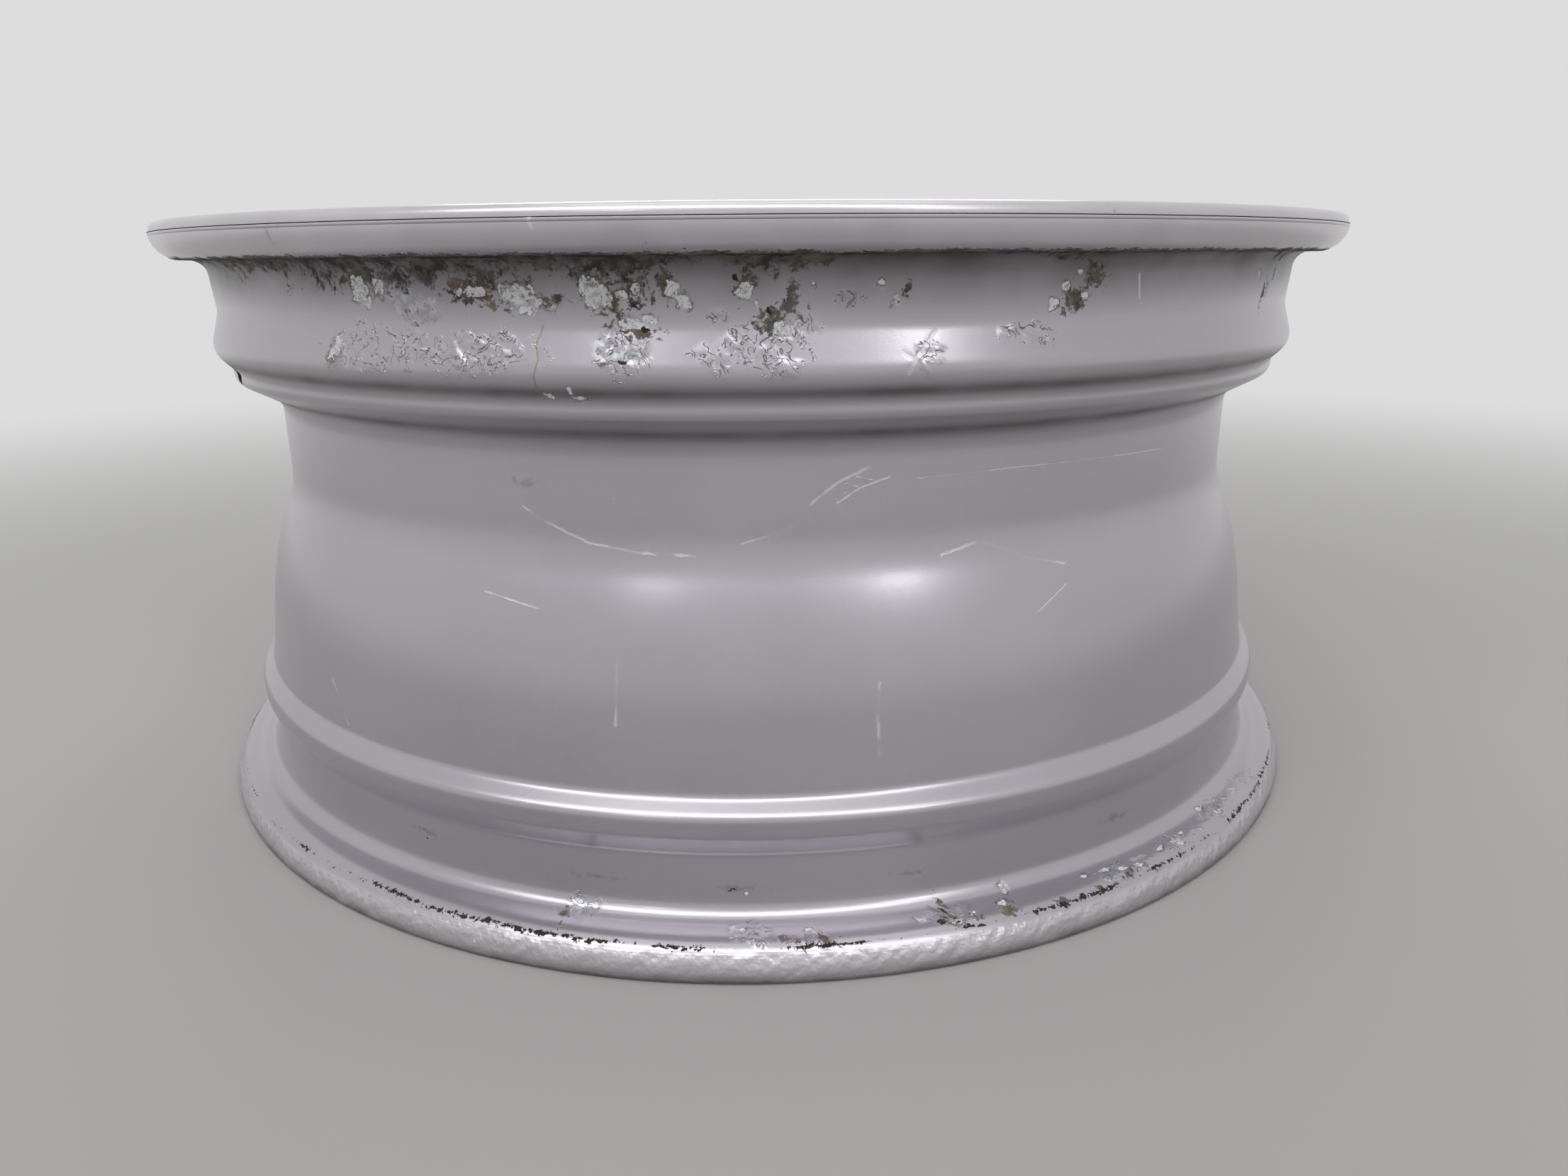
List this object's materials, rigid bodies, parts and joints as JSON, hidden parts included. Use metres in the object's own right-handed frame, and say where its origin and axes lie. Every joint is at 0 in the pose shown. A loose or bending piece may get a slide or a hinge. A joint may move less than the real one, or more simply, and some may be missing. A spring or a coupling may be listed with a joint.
{
  "type": "alloy wheel",
  "caption": "Cast alloy road wheel with a drop-centre barrel, flanges for a tubeless tyre, open windows between its spokes and a bolted hub.",
  "frame": {"origin": "on the surface that the wheel lies on, at the wheel's axis", "axes": "+Z is the wheel's axis, pointing outboard out of the face; the wheel lies on its inboard flange; -Y faces the picture's camera"},
  "size_m": [0.4969, 0.497, 0.229],
  "materials": {
    "silver_paint": "worn silver metallic paint over cast aluminium, with blisters, chips and grime"
  },
  "bodies": {
    "root": {"wheel": "silver_paint"}
  },
  "joints": []
}
